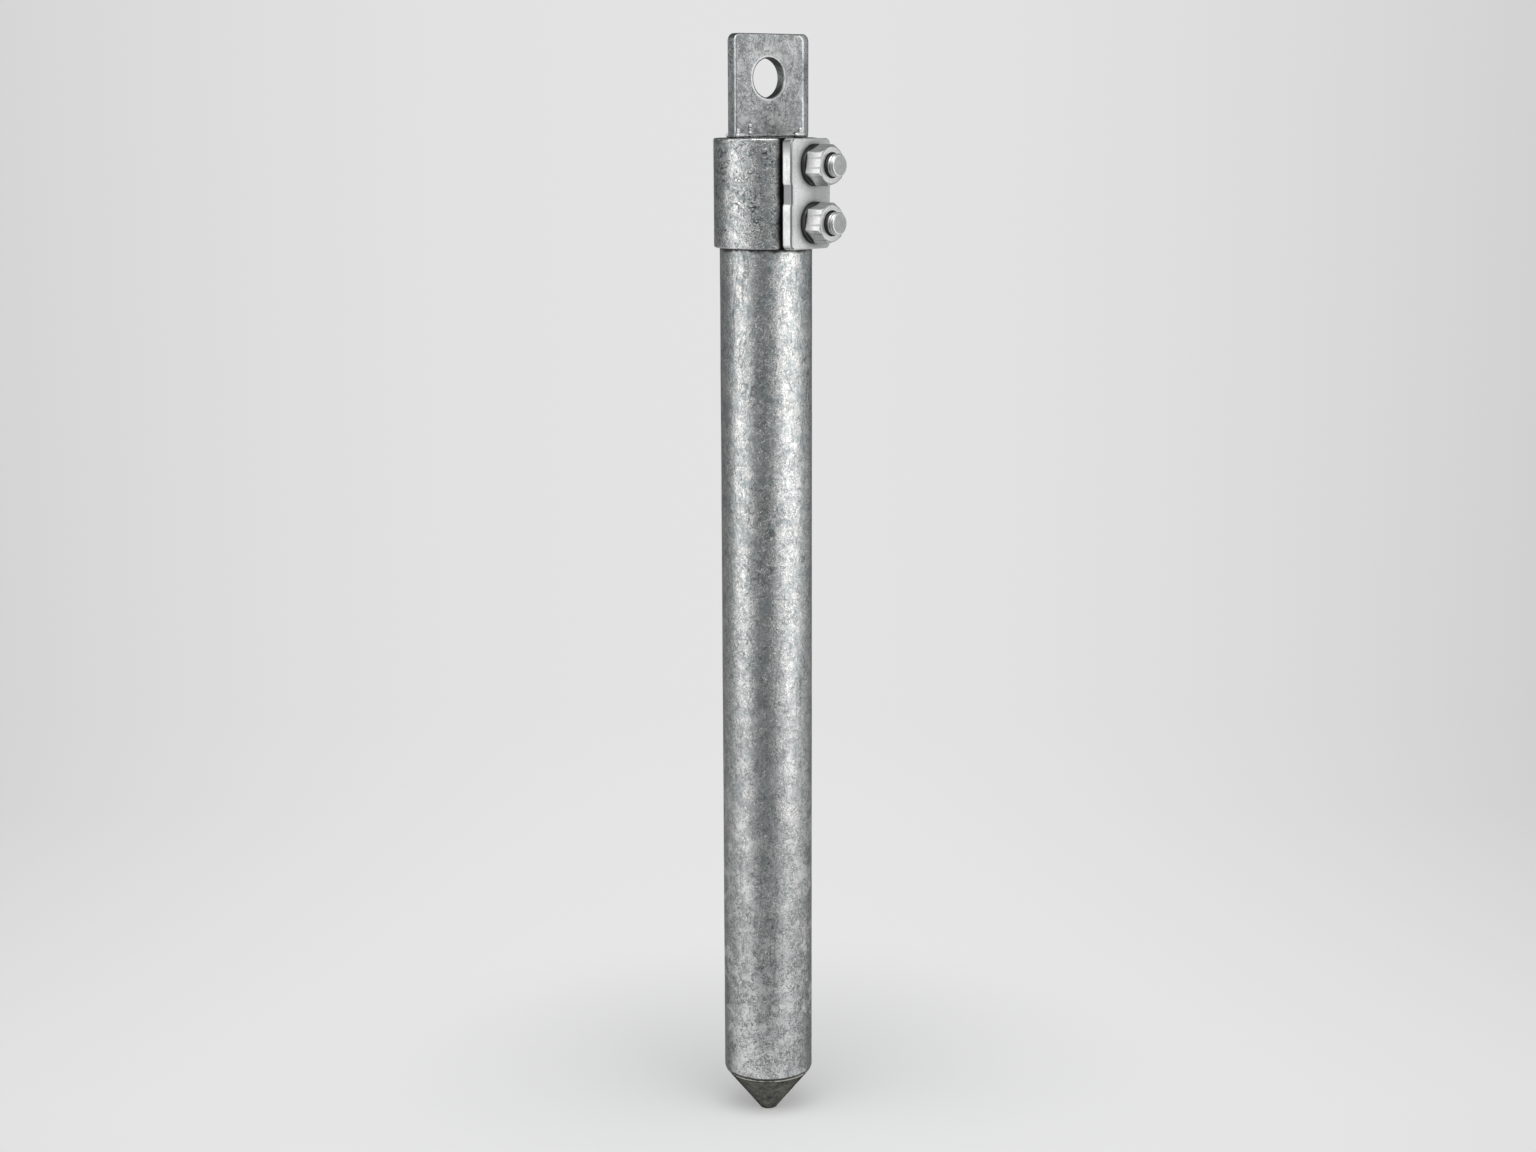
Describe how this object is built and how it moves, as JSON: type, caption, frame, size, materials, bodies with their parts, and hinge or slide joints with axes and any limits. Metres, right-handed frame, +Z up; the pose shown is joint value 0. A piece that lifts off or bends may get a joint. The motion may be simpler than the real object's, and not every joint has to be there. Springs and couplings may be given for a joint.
{
  "type": "earth rod",
  "caption": "Galvanised tubular earth rod with a solid steel point, a flat connection lug and a bolted conductor clamp near its top.",
  "frame": {"origin": "middle of the blunt end of the driving point, on the pipe's axis", "axes": "+Z up along the pipe's axis to the lug; -Y out of the lug's bevelled face; the clamp's studs point out 10.5 degrees from -Y towards +X"},
  "size_m": [0.056, 0.0798, 0.6035],
  "materials": {
    "galvanised_pipe": "hot-dip galvanised, mottled",
    "galvanised_collar": "hot-dip galvanised, mottled",
    "galvanised_lug": "dull hot-dip galvanised",
    "galvanised_plate": "smooth hot-dip galvanised",
    "weld_metal": "galvanised weld",
    "zinc_fastener": "satin zinc",
    "dark_point_steel": "bare dark steel"
  },
  "bodies": {
    "root": {"pipe": "galvanised_pipe", "driving_point": "dark_point_steel", "collar": "galvanised_collar", "lug": "galvanised_lug", "lug_welds": "weld_metal", "clamp_plate": "galvanised_plate", "stud_upper": "zinc_fastener", "stud_lower": "zinc_fastener", "washer_upper": "zinc_fastener", "washer_lower": "zinc_fastener", "nut_upper": "zinc_fastener", "nut_lower": "zinc_fastener"}
  },
  "joints": []
}
